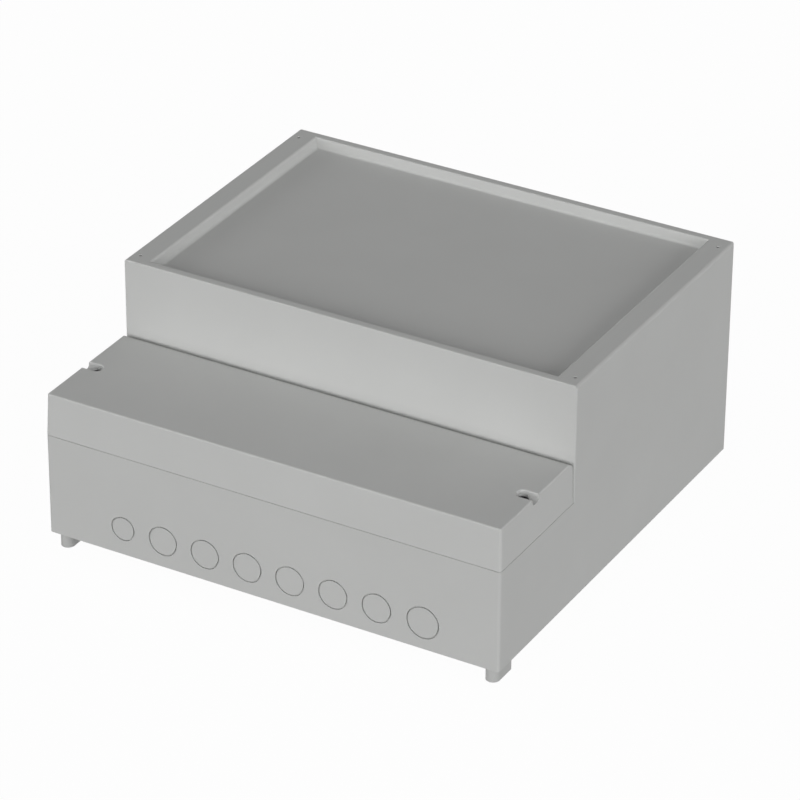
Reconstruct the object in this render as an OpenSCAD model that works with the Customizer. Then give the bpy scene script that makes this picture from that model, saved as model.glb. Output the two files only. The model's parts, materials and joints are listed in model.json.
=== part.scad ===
// Controller enclosure for a wall: a stepped housing with a recessed panel field,
// a terminal cover over the cable side, and a base plate that stands off the wall on feet.
// Millimetres. Lying on its feet: X along the cable entries, Y to the rear wall, Z off the wall.

/* [Housing] */
// Width of the housing
body_w = 302; // [270:1:340]
// Depth from the cable entry wall to the rear wall
body_d = 289; // [250:1:330]
// Height of the walls above their lower edge
body_h = 142; // [125:1:165]
// Thickness of the moulded walls
wall = 3; // [2.5:0.1:3.5]
// Radius of the upright edges at the four outer corners
edge_r = 2; // [1:0.1:3]
// Radius of the upright edges where the housing steps up
step_edge_r = 1.2; // [0.6:0.1:2]
// Radius along the two side edges of the rim
rim_side_r = 2.2; // [0.6:0.1:2.4]
// Radius along the front and rear edges of the rim
rim_end_r = 0.7; // [0.3:0.1:1.5]

/* [Panel field] */
// Width of the rim at each side of the recessed field
rim_side = 15.5; // [12:0.5:22]
// Width of the rim at the front and the rear of the field
rim_end = 5.5; // [4.5:0.5:10]
// Depth of the field below the rim
field_depth = 7.1; // [5:0.1:10]
// Radius of the rim edge at the two sides of the field
field_side_r = 1.6; // [0.4:0.1:2.4]
// Radius of the rim edge at the front and the rear of the field
field_end_r = 0.8; // [0.3:0.1:2]
// Radius at the foot of the two field sides
field_side_foot_r = 2.2; // [0.5:0.1:3]
// Radius at the foot of the field front and rear
field_end_foot_r = 1.6; // [0.5:0.1:3]
// Diameter of the pilot holes in the rim corners
pilot_d = 2.2; // [1:0.1:2.5]
// Depth of the pilot holes
pilot_depth = 7; // [4:0.5:9]
// Diameter of the bosses under the pilot holes
pilot_boss = 6.4; // [5.4:0.2:8]
// Pilot hole centres from the side walls
pilot_side = 6; // [4.5:0.1:9]
// Front pilot hole centres from the stepped wall
pilot_front = 8.8; // [6:0.1:14]
// Rear pilot hole centres from the rear wall
pilot_rear = 11.2; // [6:0.1:14]

/* [Terminal compartment] */
// Depth of the low part of the housing, up to the step
term_d = 87; // [80:1:96]
// Height of the joint between the housing and its terminal cover
seam_h = 66; // [58:1:74]
// Open joint between the housing and the cover
seam_gap = 0.3; // [0.3:0.1:0.8]
// Depth of the sealing deck below the joint
deck_drop = 4; // [3:0.5:6]
// Width of the sealing deck at the two sides
land_side = 20; // [18:0.5:26]
// Width of the sealing deck at the front
land_front = 9; // [8:0.5:12]
// Width of the sealing deck at the rear
land_rear = 12.5; // [12:0.5:16]
// Radius of the corners of the wiring opening
open_r = 5; // [2:0.5:8]
// Clear height under the partition for wires
pass_h = 24; // [18:1:32]

/* [Cable entries] */
// Score line diameter of the small entry
entry_small_d = 15.2; // [12:0.1:16]
// Score line diameter of the middle entries
entry_mid_d = 18.6; // [16:0.1:20]
// Score line diameter of the large entry
entry_large_d = 20.4; // [19:0.1:22]
// Number of middle entries
entry_count = 6; // [4:1:6]
// Pitch of the middle entries
entry_pitch = 28.65; // [26:0.05:31]
// From the last middle entry to the small one
entry_small_step = 27.6; // [24:0.1:30]
// From the last middle entry to the large one
entry_large_step = 30.2; // [27:0.1:33]
// Height of the entry centres above the lower edge of the wall
entry_h = 17.45; // [15:0.05:24]
// Width of the score line
score_w = 0.9; // [0.4:0.1:1.2]
// Depth of the score line outside
score_depth = 1.2; // [0.6:0.1:1.4]
// Wall left under the score line, which breaks when an entry is opened
score_web = 0.8; // [0.5:0.1:1.2]

/* [Terminal cover] */
// Height of the cover above the joint
cover_h = 27.2; // [22:0.2:34]
// Taper of each cover side from the joint to the top
taper_side = 0.9; // [0.4:0.1:1.6]
// Taper of the cover front from the joint to the top
taper_front = 1.05; // [0.4:0.05:1.6]
// Gap between the cover and the stepped wall
cover_rear_gap = 0.5; // [0.4:0.1:1]
// Radius of the top edge of the cover at the stepped wall
cover_rear_r = 6; // [4:0.1:8]
// Radius of the other top edges of the cover
cover_r = 1.1; // [0.8:0.1:2]
// Play of the cover lip in the housing
lip_gap = 0.3; // [0.2:0.05:0.6]
// Thickness of the cover lip
lip_t = 1.6; // [1.2:0.1:2]
// Thickness of the rib that presses on the seal, and of the stiffening ribs
rib_t = 2; // [1.6:0.1:2.4]
// Height of the stiffening ribs under the cover top
rib_h = 6; // [3:0.5:10]
// Number of stiffening ribs
rib_count = 4; // [2:1:6]
// Width of the seal
seal_w = 2.6; // [2:0.1:3.4]
// Pressed thickness of the seal
seal_t = 2; // [1.5:0.1:2.5]
// Seal centre line from the edge of the wiring opening
seal_set = 3.5; // [2.5:0.1:5]

/* [Cover screws] */
// Screw axis from the side wall
screw_side = 8.7; // [8:0.1:9.4]
// Screw axis from the cable entry wall
screw_y = 41.6; // [36:0.2:48]
// Diameter of the well for the screw head
well_d = 6.6; // [6.4:0.1:7]
// Depth of the well below the cover top
well_depth = 5.2; // [5:0.1:9]
// Diameter of the wide mouth above the well
mouth_d = 8.2; // [7.8:0.1:9]
// Depth of the wide mouth below the cover top
mouth_depth = 2.2; // [1.4:0.1:3]
// Bevel at the edge of the mouth and its notch
well_bevel = 0.4; // [0.2:0.1:0.8]
// Start of the notch from the screw axis
notch_start = 1.5; // [1:0.1:2]
// Width of the notch from the well to the cover side
notch_w = 7.8; // [6:0.1:7.8]
// Depth of the notch below the cover top
notch_depth = 4; // [2:0.1:5]
// Radius of the lower corners of the notch
notch_r = 2.2; // [0.6:0.1:2.4]
// Thickness of the well floor
well_floor = 3; // [2:0.1:4]
// Shank diameter of the cover screws
screw_d = 4; // [3:0.1:4.4]
// Head diameter of the cover screws
screw_head_d = 6; // [5.4:0.1:6]
// Head height of the cover screws
screw_head_h = 2.6; // [2:0.1:3.4]
// Width of the cross slots in the head
slot_w = 1; // [0.6:0.1:1.4]
// Depth of the cross slots
slot_depth = 1.3; // [0.8:0.1:1.8]
// Length of the cross slots
slot_len = 4; // [3.6:0.1:4.4]
// Diameter of the brass inserts
insert_d = 5.8; // [5.6:0.1:6.4]
// Length of the brass inserts
insert_len = 9; // [6:0.5:12]
// Diameter of the rings that keep the screws in the cover
keeper_d = 6.6; // [6:0.1:7]
// Thickness of the keeper rings
keeper_t = 1; // [0.8:0.1:1.4]
// Radial play between a screw and the bore it turns in
turn_gap = 0.08; // [0.05:0.01:0.1]
// Radial play of the screw shank in the cover
shank_gap = 0.25; // [0.15:0.05:0.4]

/* [Base plate] */
// Thickness of the base plate
base_t = 3; // [2.5:0.1:4]
// Play of the base plate inside the walls
base_gap = 0.3; // [0.2:0.05:0.6]
// Height of the feet below the walls
foot_h = 10.6; // [6:0.2:16]
// Width of a foot
foot_w = 8.6; // [8:0.1:10]
// Length of a foot
foot_len = 21.2; // [16:0.2:28]
// Diameter of the wall screw holes through the front feet
fix_d = 4.6; // [4:0.1:5]
// Diameter of the screwdriver holes over them
access_d = 8; // [7:0.1:8.4]
// Centre of the rear feet from the side of the base plate
rear_foot_side = 36; // [28:1:60]
// Head opening of the hanging keyhole
key_d = 10; // [8:0.5:12]
// Neck width of the hanging keyhole
key_neck = 5.2; // [4:0.1:6]
// Length from the head opening to the end of the neck
key_len = 11; // [8:0.5:14]
// Depth of the pocket behind the keyhole
key_pocket = 4; // [3:0.5:5]
// Keyhole head opening from the rear edge of the base plate
key_rear = 32; // [26:1:44]

/* [Base screws] */
// Diameter of the screw posts in the housing
post_d = 12; // [11.8:0.2:14]
// Rear posts from the rear wall
post_rear = 11; // [9:0.5:16]
// Shank diameter of the base screws
tap_d = 3.6; // [3:0.1:3.8]
// Head diameter of the base screws
tap_head_d = 7.4; // [6.6:0.1:7.6]
// Height of the countersunk head
tap_head_h = 2; // [1.6:0.1:2.2]
// Length of the base screws
tap_len = 16; // [12:1:20]
// Radial play of a fixing screw in its pilot bore
tap_gap = 0.05; // [0.03:0.01:0.1]
// Radial play of a fixing screw in the piece it holds down
through_gap = 0.3; // [0.2:0.05:0.5]

/* [Mounting plate] */
// Thickness of the mounting plate
plate_t = 2; // [1.5:0.1:3]
// Mounting plate edge from the side walls of the chamber
plate_side = 22; // [16:1:40]
// Mounting plate edge from the partition and the rear wall
plate_end = 12; // [8:1:24]
// Height of the studs under the mounting plate
stud_h = 8; // [7:0.5:10]
// Diameter of the studs under the mounting plate
stud_d = 9; // [8.6:0.2:11]
// Stud centres from the mounting plate edges
stud_in = 10; // [7:0.5:16]
// Corner radius of the mounting plate
plate_r = 4; // [1:0.5:6]
// Length of the inserts in the studs
stud_insert_len = 7; // [5:0.5:7.5]

/* [Terminal rail] */
// Width of the rail
rail_w = 35; // [35:1:35]
// Height of the rail
rail_h = 7.5; // [7.5:0.5:15]
// Sheet thickness of the rail
rail_t = 1; // [1:0.1:1.5]
// Width of the raised channel of the rail
rail_crown = 25; // [24:0.5:27]
// End of the rail from the inside of the side walls
rail_end = 24; // [20:1:40]
// Height of the studs under the rail
rail_stud_h = 6; // [5:0.5:12]
// Slots left free outside each rail screw
rail_free_slots = 0; // [0:1:2]
// Pitch of the slots in the rail
rail_pitch = 25; // [20:1:30]
// Length of the slots in the rail
rail_slot_len = 15; // [10:0.5:18]
// Width of the slots in the rail
rail_slot_w = 5.2; // [4.8:0.1:6.2]

/* [Machine screws] */
// Shank diameter of the rail and plate screws
mach_d = 4; // [3:0.1:4.2]
// Head diameter of the rail and plate screws
mach_head_d = 7.6; // [7:0.1:8.4]
// Head height of the rail and plate screws
mach_head_h = 2.6; // [2:0.1:3]
// Reach of the rail and plate screws into the base
mach_reach = 6; // [5:0.5:6.5]

/* [Hidden] */
$fn = 64;
half_w = body_w / 2;
in_x = half_w - wall;
in_rear = body_d - wall;
chamber_y = term_d + wall;
roof = body_h - field_depth - wall;
deck_top = seam_h - deck_drop;
open_x = in_x - land_side;
open_y0 = wall + land_front;
open_y1 = term_d - land_rear;
seal_x = open_x + seal_set;
seal_y0 = open_y0 - seal_set;
seal_y1 = open_y1 + seal_set;
cover_foot = seam_h + seam_gap / 2;
cover_top = seam_h + cover_h;
cover_in_x = half_w - taper_side - wall;
cover_in_y0 = taper_front + wall;
cover_in_y1 = term_d - cover_rear_gap - wall;
cover_roof = cover_top - wall;
cover_bevel = (2 - sqrt(2)) * (cover_rear_r - wall);
screw_x = half_w - screw_side;
notch_x = screw_x + notch_start;
sleeve_r = in_x - lip_gap - screw_x;
well_z = cover_top - well_depth;
insert_z = deck_top - insert_len;
screw_tip = insert_z - 2;
base_x = in_x - base_gap;
base_y0 = wall + base_gap;
base_y1 = in_rear - base_gap;
foot_x = base_x - foot_w / 2;
foot_mid = base_y0 + foot_len / 2;
rear_foot_x = base_x - rear_foot_side;
rear_foot_mid = base_y1 - foot_len / 2;
key_y = base_y1 - key_rear;
post_y = [screw_y, (chamber_y + in_rear) / 2, in_rear - post_rear + wall];
pilot_y = [term_d + pilot_front, body_d - pilot_rear];
plate_x = in_x - plate_side;
plate_y0 = chamber_y + plate_end;
plate_y1 = in_rear - plate_end;
plate_z = base_t + stud_h;
stud_x = plate_x - stud_in;
stud_y = [plate_y0 + stud_in, plate_y1 - stud_in];
rail_x = in_x - rail_end;
rail_y = (wall + term_d) / 2;
rail_z = base_t + rail_stud_h;
rail_slots = floor((2 * rail_x - rail_slot_len - 10) / rail_pitch);
rail_screw_x = ((rail_slots - 1) / 2 - rail_free_slots) * rail_pitch;
entry_end = (entry_count - 1) / 2 * entry_pitch;

// What a rounded edge takes off a square corner whose outside is towards plus x and plus y,
// with its arc drawn out by the given hair so that it meets leaning faces cleanly
module edge_cut(r, hair = 0) {
    difference() {
        translate([-r, -r]) square(r + 1);
        translate([hair - r, hair - r]) circle(r);
    }
}

// Rounds the upright edge at x, y, facing outwards at the given turn
module round_upright(x, y, turn, r, z0, z1) {
    translate([x, y, z0]) rotate([0, 0, turn]) linear_extrude(z1 - z0) edge_cut(r);
}

// A block given by its two opposite corners
module block(a, b) {
    translate(a) cube(b - a);
}

// A rectangle in plan with four equal rounded corners
module round_rect(x, y0, y1, r) {
    translate([-x, y0 + r]) square([2 * x, y1 - y0 - 2 * r]);
    translate([-x + r, y0]) square([2 * x - 2 * r, y1 - y0]);
    for (sx = [-1, 1], y = [y0 + r, y1 - r]) translate([sx * (x - r), y]) circle(r);
}

// A rectangular ring in plan, t wide about its centre line
module frame(x, y0, y1, t) {
    difference() {
        translate([-x - t / 2, y0 - t / 2]) square([2 * x + t, y1 - y0 + t]);
        translate([-x + t / 2, y0 + t / 2]) square([2 * x - t, y1 - y0 - t]);
    }
}

// Outside of the housing: the high part over the panel field and the low part under the cover
module housing_outside() {
    difference() {
        block([-half_w, term_d, 0], [half_w, body_d, body_h]);
        round_upright(half_w, body_d, 0, edge_r, -1, body_h + 1);
        round_upright(-half_w, body_d, 90, edge_r, -1, body_h + 1);
        round_upright(-half_w, term_d, 180, step_edge_r, -1, body_h + 1);
        round_upright(half_w, term_d, 270, step_edge_r, -1, body_h + 1);
        for (s = [0, 1]) mirror([s, 0, 0]) translate([half_w, body_d + 1, body_h])
            rotate([90, 0, 0]) linear_extrude(body_d - term_d + 2) edge_cut(rim_side_r);
        translate([-half_w - 1, body_d, body_h]) rotate([90, 0, 90])
            linear_extrude(body_w + 2) edge_cut(rim_end_r);
        translate([-half_w - 1, term_d, body_h]) mirror([0, 1, 0]) rotate([90, 0, 90])
            linear_extrude(body_w + 2) edge_cut(rim_end_r);
    }
    difference() {
        block([-half_w, 0, 0], [half_w, chamber_y + 2, seam_h - seam_gap / 2]);
        round_upright(-half_w, 0, 180, edge_r, -1, seam_h);
        round_upright(half_w, 0, 270, edge_r, -1, seam_h);
    }
}

// Score ring of one cable entry, outside and inside the wall
module score(x, d) {
    translate([x, 0, entry_h]) rotate([-90, 0, 0]) {
        translate([0, 0, -1]) difference() {
            cylinder(d = d + score_w, h = 1 + score_depth);
            translate([0, 0, -1]) cylinder(d = d - score_w, h = 3 + score_depth);
        }
        translate([0, 0, score_depth + score_web]) difference() {
            cylinder(d = d + 2 * score_w, h = wall);
            translate([0, 0, -1]) cylinder(d = d - 2 * score_w, h = wall + 2);
        }
    }
}

// Section of the panel field from a to b: round edges at the rim and round corners at its foot
module field_section(a, b, rim_r, foot_r) {
    translate([0, body_h - field_depth]) difference() {
        translate([a, 0]) square([b - a, field_depth + 1]);
        translate([b, 0]) mirror([0, 1]) edge_cut(foot_r);
        translate([a, 0]) mirror([1, 0]) mirror([0, 1]) edge_cut(foot_r);
    }
    translate([a, body_h]) edge_cut(rim_r);
    translate([b, body_h]) mirror([1, 0]) edge_cut(rim_r);
}

// The hollow of the panel field: what its two sections have in common
module panel_field() {
    intersection() {
        translate([0, body_d, 0]) rotate([90, 0, 0]) linear_extrude(body_d - term_d)
            field_section(-half_w + rim_side, half_w - rim_side, field_side_r, field_side_foot_r);
        translate([-half_w, 0, 0]) rotate([90, 0, 90]) linear_extrude(body_w)
            field_section(term_d + rim_end, body_d - rim_end, field_end_r, field_end_foot_r);
    }
}

module housing() {
    color([0.70, 0.70, 0.68]) difference() {
        union() {
            difference() {
                housing_outside();
                block([-in_x, chamber_y, -1], [in_x, in_rear, roof]);
                for (s = [0, 1]) mirror([s, 0, 0])
                    block([half_w - rim_side + wall, chamber_y, roof - 1], [in_x, in_rear, body_h - wall]);
                block([-in_x, wall, -1], [in_x, term_d, deck_top - wall]);
                block([-in_x, wall, deck_top], [in_x, term_d, seam_h]);
                block([-in_x, term_d - 1, -1], [in_x, chamber_y + 1, pass_h]);
            }
            for (sx = [-1, 1], y = pilot_y)
                translate([sx * (half_w - pilot_side), y, body_h - pilot_depth - 2])
                    cylinder(d = pilot_boss, h = pilot_depth + 2 - wall / 2);
            for (sx = [-1, 1]) {
                translate([sx * screw_x, post_y[0], base_t]) cylinder(d = post_d, h = deck_top - base_t);
                for (i = [1, 2]) translate([sx * screw_x, post_y[i], base_t])
                    cylinder(d = post_d, h = body_h - wall - base_t + 0.5);
            }
        }
        panel_field();
        translate([0, 0, deck_top - wall - 1]) linear_extrude(wall + 2)
            round_rect(open_x, open_y0, open_y1, open_r);
        for (sx = [-1, 1]) {
            for (y = pilot_y) translate([sx * (half_w - pilot_side), y, body_h - pilot_depth])
                cylinder(d = pilot_d, h = pilot_depth + 1);
            translate([sx * foot_x, foot_mid, deck_top - wall - 1]) cylinder(d = access_d, h = wall + 2);
            for (y = post_y) translate([sx * screw_x, y, base_t - 1])
                cylinder(d = tap_d + 2 * tap_gap, h = tap_len);
            translate([sx * screw_x, screw_y, insert_z])
                cylinder(d = insert_d + 2 * tap_gap, h = insert_len + 1);
            translate([sx * screw_x, screw_y, screw_tip - 1]) cylinder(d = screw_d + 1, h = insert_len);
        }
        for (i = [0 : entry_count - 1]) score(i * entry_pitch - entry_end, entry_mid_d);
        score(-entry_end - entry_small_step, entry_small_d);
        score(entry_end + entry_large_step, entry_large_d);
    }
}

// One foot in plan, long from the front to the rear
module foot_plan(x, y) {
    run = foot_len - foot_w;
    translate([x - foot_w / 2, y - run / 2]) square([foot_w, run]);
    for (s = [-1, 1]) translate([x, y + s * run / 2]) circle(foot_w / 2);
}

// Keyhole in plan: head opening, with the neck above it when the enclosure hangs
module keyhole_plan(head, neck) {
    translate([0, key_y]) circle(d = head);
    translate([-neck / 2, key_y]) square([neck, key_len]);
    translate([0, key_y + key_len]) circle(d = neck);
}

module base_plate() {
    color([0.66, 0.66, 0.64]) difference() {
        union() {
            linear_extrude(base_t) round_rect(base_x, base_y0, base_y1, 1);
            for (sx = [-1, 1]) {
                translate([0, 0, -foot_h]) linear_extrude(foot_h + base_t / 2) {
                    foot_plan(sx * foot_x, foot_mid);
                    foot_plan(sx * rear_foot_x, rear_foot_mid);
                }
                for (y = stud_y) translate([sx * stud_x, y, base_t / 2])
                    cylinder(d = stud_d, h = plate_z - base_t / 2);
                translate([sx * rail_screw_x, rail_y, base_t / 2])
                    cylinder(d = stud_d, h = rail_z - base_t / 2);
            }
            block([-key_d / 2 - 3, key_y - key_d / 2 - 3, base_t / 2],
                [key_d / 2 + 3, key_y + key_len + key_d / 2 + 3, base_t + key_pocket + 2]);
        }
        translate([0, 0, -1]) linear_extrude(base_t + 1.01) keyhole_plan(key_d, key_neck);
        translate([0, 0, base_t]) linear_extrude(key_pocket) keyhole_plan(key_d, key_d);
        for (sx = [-1, 1]) {
            translate([sx * foot_x, foot_mid, -foot_h - 1]) cylinder(d = fix_d, h = foot_h + base_t + 2);
            for (y = post_y) translate([sx * screw_x, y, 0]) {
                translate([0, 0, -1]) cylinder(d = tap_d + 2 * through_gap, h = base_t + 2);
                cylinder(d1 = tap_head_d + 2 * tap_gap, d2 = tap_d + 2 * tap_gap, h = tap_head_h);
                translate([0, 0, -1]) cylinder(d = tap_head_d + 2 * tap_gap, h = 1.01);
            }
            for (y = stud_y) translate([sx * stud_x, y, plate_z - stud_insert_len])
                cylinder(d = insert_d + 2 * tap_gap, h = stud_insert_len + 1);
            translate([sx * rail_screw_x, rail_y, rail_z - mach_reach - 1])
                cylinder(d = mach_d + 2 * tap_gap, h = mach_reach + 2);
        }
    }
}

module base_screws() {
    color([0.75, 0.75, 0.77]) for (sx = [-1, 1], y = post_y) translate([sx * screw_x, y, 0]) difference() {
        union() {
            cylinder(d1 = tap_head_d, d2 = tap_d, h = tap_head_h);
            cylinder(d = tap_d, h = tap_len - 2);
            translate([0, 0, tap_len - 2]) cylinder(d1 = tap_d, d2 = 0.8, h = 2);
        }
        cross_slots(slot_len, slot_w, slot_depth);
    }
}

// Cross slots that open downwards at z 0 and reach up
module cross_slots(len, w, depth) {
    for (a = [0, 90]) rotate([0, 0, a]) translate([-len / 2, -w / 2, -1]) cube([len, w, depth + 1]);
}

// Section through the cover from corner a at one foot to corner d at the other, with top corners b and c
// rounded by rb and rc
module cover_section(a, b, c, d, rb, rc) {
    fall = cover_top - cover_foot;
    lean_b = (b - a) / fall;
    lean_c = (c - d) / fall;
    mid_b = [b - lean_b * rb + rb * sqrt(1 + lean_b * lean_b), cover_top - rb];
    mid_c = [c - lean_c * rc - rc * sqrt(1 + lean_c * lean_c), cover_top - rc];
    tip_b = mid_b + rb * [-cos(atan(lean_b)), sin(atan(lean_b))];
    tip_c = mid_c + rc * [cos(atan(lean_c)), -sin(atan(lean_c))];
    polygon([[a, cover_foot], tip_b, mid_b, [mid_b[0], cover_top], [mid_c[0], cover_top], mid_c, tip_c,
        [d, cover_foot]]);
    translate(mid_b) circle(rb);
    translate(mid_c) circle(rc);
}

// Rounds a leaning corner edge of the cover, from its foot at x, y to a top shifted by dx, dy
module round_leaning(x, y, dx, dy, turn, r) {
    rise = cover_top - cover_foot;
    translate([x, y, cover_foot]) rotate([-asin(dy / norm([dx, dy, rise])), atan(dx / rise), 0])
        translate([0, 0, -2]) linear_extrude(rise + 4) rotate(turn) edge_cut(r, 0.02);
}

// Outside of the terminal cover, tapered at the front and the sides
module cover_outside() {
    rear = term_d - cover_rear_gap;
    difference() {
        intersection() {
            translate([0, term_d, 0]) rotate([90, 0, 0]) linear_extrude(term_d)
                cover_section(-half_w, -half_w + taper_side, half_w - taper_side, half_w, cover_r, cover_r);
            translate([-half_w, 0, 0]) rotate([90, 0, 90]) linear_extrude(body_w)
                cover_section(0, taper_front, rear, rear, cover_r, cover_rear_r);
        }
        for (s = [0, 1]) mirror([s, 0, 0]) {
            round_leaning(half_w, 0, -taper_side, taper_front, 270, edge_r);
            round_leaning(half_w, rear, -taper_side, 0, 0, step_edge_r);
        }
    }
}

// Cross section of the notch beside a screw well, standing on its lower edge
module notch_section() {
    run = notch_w - 2 * notch_r;
    translate([-notch_w / 2, notch_r]) square([notch_w, notch_depth]);
    translate([-run / 2, 0]) square([run, notch_r + 1]);
    for (s = [-1, 1]) translate([s * run / 2, notch_r]) circle(notch_r);
    wide = notch_w / 2 + well_bevel + 1;
    polygon([[-notch_w / 2, notch_depth - well_bevel], [notch_w / 2, notch_depth - well_bevel],
        [wide, notch_depth + 1], [-wide, notch_depth + 1]]);
}

// Section of the space under the cover, with its rear corner bevelled to keep the wall even
module cover_inside() {
    polygon([[cover_in_y0, cover_foot - 1], [cover_in_y0, cover_roof],
        [cover_in_y1 - cover_bevel, cover_roof], [cover_in_y1, cover_roof - cover_bevel],
        [cover_in_y1, cover_foot - 1]]);
}

module terminal_cover() {
    color([0.69, 0.69, 0.67]) difference() {
        union() {
            difference() {
                cover_outside();
                translate([-cover_in_x, 0, 0]) rotate([90, 0, 90])
                    linear_extrude(2 * cover_in_x) cover_inside();
            }
            translate([0, 0, deck_top + lip_gap]) linear_extrude(cover_foot - deck_top - lip_gap + 1)
                frame(in_x - lip_gap - lip_t / 2, wall + lip_gap + lip_t / 2,
                    term_d - lip_gap - lip_t / 2, lip_t);
            translate([0, 0, deck_top + seal_t]) linear_extrude(cover_roof - deck_top - seal_t + 0.5)
                frame(seal_x, seal_y0, seal_y1, rib_t);
            for (i = [1 : rib_count])
                translate([(2 * i / (rib_count + 1) - 1) * seal_x - rib_t / 2, seal_y0, cover_roof - rib_h])
                    cube([rib_t, seal_y1 - seal_y0, rib_h + 0.5]);
            for (sx = [-1, 1]) {
                translate([sx * screw_x, screw_y, deck_top])
                    cylinder(r = sleeve_r, h = cover_roof - deck_top);
                intersection() {
                    translate([sx * screw_x, screw_y, well_z - well_floor])
                        cylinder(d = mouth_d + 2 * rib_t, h = cover_roof - well_z + well_floor + 0.5);
                    block([-cover_in_x - 1, wall, seam_h], [cover_in_x + 1, term_d - wall, cover_top]);
                }
            }
        }
        for (sx = [-1, 1]) {
            translate([sx * screw_x, screw_y, well_z]) cylinder(d = well_d, h = well_depth + 1);
            translate([sx * screw_x, screw_y, cover_top - mouth_depth])
                cylinder(d = mouth_d, h = mouth_depth + 1);
            translate([sx * screw_x, screw_y, cover_top - well_bevel])
                cylinder(d1 = mouth_d, d2 = mouth_d + 2 * well_bevel + 2, h = well_bevel + 1);
            translate([min(sx * notch_x, sx * (half_w + 1)), screw_y, cover_top - notch_depth])
                rotate([90, 0, 90]) linear_extrude(half_w + 1 - notch_x) notch_section();
            translate([sx * screw_x, screw_y, deck_top - 1])
                cylinder(d = screw_d + 2 * shank_gap, h = well_z - deck_top + 2);
            translate([sx * screw_x, screw_y, deck_top - 1])
                cylinder(d = keeper_d + 2 * tap_gap, h = keeper_t + 1.2);
        }
    }
}

module cover_seal() {
    color([0.10, 0.10, 0.10]) translate([0, 0, deck_top]) linear_extrude(seal_t)
        frame(seal_x, seal_y0, seal_y1, seal_w);
}

// A cover screw: head in the well, shank through the cover and down into the insert
module cover_screw(sx) {
    color([0.78, 0.78, 0.80]) translate([sx * screw_x, screw_y, 0]) difference() {
        union() {
            translate([0, 0, well_z]) cylinder(d = screw_head_d, h = screw_head_h - 0.6);
            translate([0, 0, well_z + screw_head_h - 0.6])
                cylinder(d1 = screw_head_d, d2 = screw_head_d - 1.2, h = 0.6);
            translate([0, 0, screw_tip + 0.6]) cylinder(d = screw_d, h = well_z - screw_tip);
            translate([0, 0, screw_tip]) cylinder(d1 = screw_d - 1.2, d2 = screw_d, h = 0.6);
        }
        translate([0, 0, well_z + screw_head_h]) mirror([0, 0, 1])
            cross_slots(slot_len, slot_w, slot_depth);
    }
}

module cover_screw_left() {
    cover_screw(-1);
}

module cover_screw_right() {
    cover_screw(1);
}

module screw_keepers() {
    color([0.16, 0.16, 0.16]) for (sx = [-1, 1])
        translate([sx * screw_x, screw_y, deck_top + 0.15]) difference() {
            cylinder(d = keeper_d, h = keeper_t);
            translate([0, 0, -1]) cylinder(d = screw_d + 2 * turn_gap, h = keeper_t + 2);
        }
}

// A brass insert with two knurl bands and a groove between them
module insert(len, bore) {
    difference() {
        cylinder(d = insert_d, h = len);
        translate([0, 0, -1]) cylinder(d = bore, h = len + 2);
        translate([0, 0, len * 0.45]) difference() {
            cylinder(d = insert_d + 1, h = len * 0.15);
            translate([0, 0, -1]) cylinder(d = insert_d - 0.6, h = len + 2);
        }
    }
}

module cover_inserts() {
    color([0.72, 0.56, 0.28]) for (sx = [-1, 1]) translate([sx * screw_x, screw_y, insert_z])
        insert(insert_len, screw_d + 2 * turn_gap);
}

module mounting_plate() {
    color([0.72, 0.73, 0.75]) translate([0, 0, plate_z]) difference() {
        linear_extrude(plate_t) round_rect(plate_x, plate_y0, plate_y1, plate_r);
        for (sx = [-1, 1], y = stud_y) translate([sx * stud_x, y, -1])
            cylinder(d = mach_d + 2 * through_gap, h = plate_t + 2);
    }
}

// A pan head screw that stands on z 0 and reaches down
module machine_screw(reach) {
    difference() {
        union() {
            cylinder(d = mach_head_d, h = mach_head_h - 0.6);
            translate([0, 0, mach_head_h - 0.6])
                cylinder(d1 = mach_head_d, d2 = mach_head_d - 1.4, h = 0.6);
            translate([0, 0, -reach]) cylinder(d = mach_d, h = reach + 0.5);
        }
        translate([0, 0, mach_head_h]) mirror([0, 0, 1]) cross_slots(slot_len, slot_w, slot_depth);
    }
}

module plate_screws() {
    color([0.75, 0.75, 0.77]) for (sx = [-1, 1], y = stud_y) translate([sx * stud_x, y, plate_z + plate_t])
        machine_screw(plate_t + mach_reach);
}

module stud_inserts() {
    color([0.72, 0.56, 0.28]) for (sx = [-1, 1], y = stud_y)
        translate([sx * stud_x, y, plate_z - stud_insert_len])
            insert(stud_insert_len, mach_d + 2 * tap_gap);
}

// Cross section of the rail: two flanges, two webs and the raised channel between them
module rail_section() {
    f = rail_w / 2;
    c = rail_crown / 2;
    polygon([[-f, rail_h - rail_t], [-c, rail_h - rail_t], [-c, 0], [c, 0], [c, rail_h - rail_t],
        [f, rail_h - rail_t], [f, rail_h], [c - rail_t, rail_h], [c - rail_t, rail_t],
        [-c + rail_t, rail_t], [-c + rail_t, rail_h], [-f, rail_h]]);
}

module terminal_rail() {
    color([0.72, 0.73, 0.75]) translate([0, rail_y, rail_z]) difference() {
        translate([-rail_x, 0, 0]) rotate([90, 0, 90]) linear_extrude(2 * rail_x) rail_section();
        for (i = [0 : rail_slots - 1]) translate([(i - (rail_slots - 1) / 2) * rail_pitch, 0, -1])
            linear_extrude(rail_t + 2) {
                square([rail_slot_len - rail_slot_w, rail_slot_w], center = true);
                for (s = [-1, 1]) translate([s * (rail_slot_len - rail_slot_w) / 2, 0])
                    circle(d = rail_slot_w);
            }
    }
}

module rail_screws() {
    color([0.75, 0.75, 0.77]) for (sx = [-1, 1]) translate([sx * rail_screw_x, rail_y, rail_z + rail_t])
        machine_screw(rail_t + mach_reach);
}

// Sets the drawing on the floor, with the middle of its footprint at the origin
module placed() {
    translate([0, -body_d / 2, foot_h]) children();
}

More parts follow.
